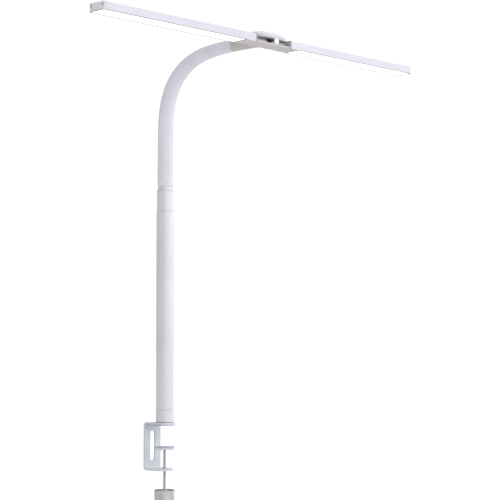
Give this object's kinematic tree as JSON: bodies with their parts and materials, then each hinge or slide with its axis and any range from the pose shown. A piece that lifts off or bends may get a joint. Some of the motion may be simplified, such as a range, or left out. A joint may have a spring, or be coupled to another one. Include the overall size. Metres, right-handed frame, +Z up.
{
  "type": "desk lamp",
  "caption": "Clamp-on desk lamp: a swivelling pole and a gooseneck arm carry a hub from which slim light bars reach out to both sides and tilt.",
  "frame": {"origin": "on the desk's surface under the pole's axis, at the centre of the upper jaw pad's underside", "axes": "+Z up along the pole; the gooseneck bends towards -Y; the light bars lie along X"},
  "size_m": [0.8, 0.3179, 0.8521],
  "materials": {
    "bracket_steel": "silver powder coat over a bent steel strip, satin",
    "pole_aluminium": "anodised silver, fine satin",
    "bar_aluminium": "anodised silver, fine satin",
    "zinc_steel": "zinc plated",
    "barrel_metal": "turned, satin nickel",
    "jaw_rubber": "matt, fine texture",
    "sleeve_silicone": "silver grey silicone, satin",
    "nylon": "moulded nylon, natural white",
    "knob_plastic": "moulded, silver grey",
    "black_plastic": "moulded",
    "lead_pvc": "PVC",
    "neck_plastic": "painted silver, satin",
    "hub_plastic": "painted silver white, satin",
    "cap_plastic": "painted silver, satin",
    "circuit_board": "solder mask",
    "led_board": "white solder mask on aluminium",
    "diffuser": "opal acrylic, lit"
  },
  "bodies": {
    "bar_left": {"cap_screw_left_back": "zinc_steel", "cap_screw_left_front": "zinc_steel", "diffuser_left": "diffuser", "housing_left": "bar_aluminium", "inner_cap_left": "cap_plastic", "led_board_left": "led_board", "outer_cap_left": "cap_plastic", "tilt_barrel_left": "barrel_metal", "tilt_washer_left": "zinc_steel"},
    "bar_right": {"cap_screw_right_back": "zinc_steel", "cap_screw_right_front": "zinc_steel", "diffuser_right": "diffuser", "housing_right": "bar_aluminium", "inner_cap_right": "cap_plastic", "led_board_right": "led_board", "outer_cap_right": "cap_plastic", "tilt_barrel_right": "barrel_metal", "tilt_washer_right": "zinc_steel"},
    "clamp": {"clamp_bracket": "bracket_steel", "pole_bolt": "zinc_steel", "pole_nut": "zinc_steel", "swivel_washer": "nylon", "thread_nut": "zinc_steel", "upper_jaw_pad": "jaw_rubber"},
    "gooseneck_01": {"gooseneck_01": "sleeve_silicone"},
    "gooseneck_02": {"gooseneck_02": "sleeve_silicone"},
    "gooseneck_03": {"gooseneck_03": "sleeve_silicone"},
    "gooseneck_04": {"gooseneck_04": "sleeve_silicone"},
    "gooseneck_05": {"gooseneck_05": "sleeve_silicone"},
    "gooseneck_06": {"gooseneck_06": "sleeve_silicone"},
    "gooseneck_07": {"gooseneck_07": "sleeve_silicone"},
    "gooseneck_08": {"gooseneck_08": "sleeve_silicone"},
    "gooseneck_09": {"gooseneck_09": "sleeve_silicone"},
    "gooseneck_10": {"gooseneck_10": "sleeve_silicone"},
    "gooseneck_11": {"gooseneck_11": "sleeve_silicone"},
    "gooseneck_12": {"gooseneck_12": "sleeve_silicone", "neck_retainer": "zinc_steel", "neck_socket": "neck_plastic"},
    "head": {"hub_base": "hub_plastic", "hub_core": "black_plastic", "hub_cover": "hub_plastic", "hub_deck": "hub_plastic", "hub_post": "hub_plastic", "touch_board": "circuit_board"},
    "pole": {"base_sleeve": "pole_aluminium", "collar_ring": "pole_aluminium", "dc_jack": "black_plastic", "pole_collar": "pole_aluminium", "pole_lead": "lead_pvc", "pole_tube": "pole_aluminium"},
    "press": {"pressure_pad": "jaw_rubber", "pressure_plate": "bracket_steel"},
    "screw": {"clamp_knob": "knob_plastic", "clamp_screw": "zinc_steel", "screw_clip": "zinc_steel"}
  },
  "joints": [
    {"name": "clamp_travel", "type": "slide", "parent": "clamp", "child": "press", "axis": [0, 0, 1], "range_m": [-0.03, 0.035]},
    {"name": "screw_turn", "type": "hinge", "parent": "press", "child": "screw", "pos_m": [0, 0, -0.08], "axis": [0, 0, 1], "range_deg": [-10836, 12636]},
    {"name": "pole_swivel", "type": "hinge", "parent": "clamp", "child": "pole", "pos_m": [0, 0, 0.0071], "axis": [0, 0, 1], "range_deg": [-170, 170]},
    {"name": "pitch_1", "type": "hinge", "parent": "pole", "child": "gooseneck_01", "pos_m": [0, 0, 0.4475], "axis": [1, 0, 0], "range_deg": [-15, 10]},
    {"name": "sway_1", "type": "hinge", "parent": "gooseneck_01", "child": "gooseneck_02", "pos_m": [0, 0, 0.49148], "axis": [0, 1, 0], "range_deg": [-8, 8]},
    {"name": "pitch_2", "type": "hinge", "parent": "gooseneck_02", "child": "gooseneck_03", "pos_m": [0, 0, 0.53527], "axis": [1, 0, 0], "range_deg": [-15, 10]},
    {"name": "sway_2", "type": "hinge", "parent": "gooseneck_03", "child": "gooseneck_04", "pos_m": [0, -0.00075, 0.57338], "axis": [0, 0.9978, 0.0669], "range_deg": [-8, 8]},
    {"name": "pitch_3", "type": "hinge", "parent": "gooseneck_04", "child": "gooseneck_05", "pos_m": [0, -0.00452, 0.60275], "axis": [1, 0, 0], "range_deg": [-15, 10]},
    {"name": "sway_3", "type": "hinge", "parent": "gooseneck_05", "child": "gooseneck_06", "pos_m": [0, -0.01209, 0.62684], "axis": [0, 0.9194, 0.3932], "range_deg": [-8, 8]},
    {"name": "pitch_4", "type": "hinge", "parent": "gooseneck_06", "child": "gooseneck_07", "pos_m": [0, -0.02346, 0.64703], "axis": [1, 0, 0], "range_deg": [-15, 10]},
    {"name": "sway_4", "type": "hinge", "parent": "gooseneck_07", "child": "gooseneck_08", "pos_m": [0, -0.03873, 0.66395], "axis": [0, 0.6634, 0.7483], "range_deg": [-8, 8]},
    {"name": "pitch_5", "type": "hinge", "parent": "gooseneck_08", "child": "gooseneck_09", "pos_m": [0, -0.05793, 0.67758], "axis": [1, 0, 0], "range_deg": [-15, 10]},
    {"name": "sway_5", "type": "hinge", "parent": "gooseneck_09", "child": "gooseneck_10", "pos_m": [0, -0.08124, 0.68778], "axis": [0, 0.3138, 0.9495], "range_deg": [-8, 8]},
    {"name": "pitch_6", "type": "hinge", "parent": "gooseneck_10", "child": "gooseneck_11", "pos_m": [0, -0.10928, 0.69455], "axis": [1, 0, 0], "range_deg": [-15, 10]},
    {"name": "sway_6", "type": "hinge", "parent": "gooseneck_11", "child": "gooseneck_12", "pos_m": [0, -0.14286, 0.6981], "axis": [0, 0.0635, 0.998], "range_deg": [-8, 8]},
    {"name": "head_swivel", "type": "hinge", "parent": "gooseneck_12", "child": "head", "pos_m": [0, -0.23773, 0.69917], "axis": [0, -1, 0], "range_deg": [-90, 90]},
    {"name": "bar_left_tilt", "type": "hinge", "parent": "head", "child": "bar_left", "pos_m": [0, -0.26348, 0.69432], "axis": [1, 0, 0], "range_deg": [-90, 90]},
    {"name": "bar_right_tilt", "type": "hinge", "parent": "head", "child": "bar_right", "pos_m": [0, -0.26348, 0.69432], "axis": [1, 0, 0], "range_deg": [-90, 90]}
  ],
  "couplings": [
    {"joint": "screw_turn", "follows": "clamp_travel", "rad_per_m": 6283.2}
  ]
}
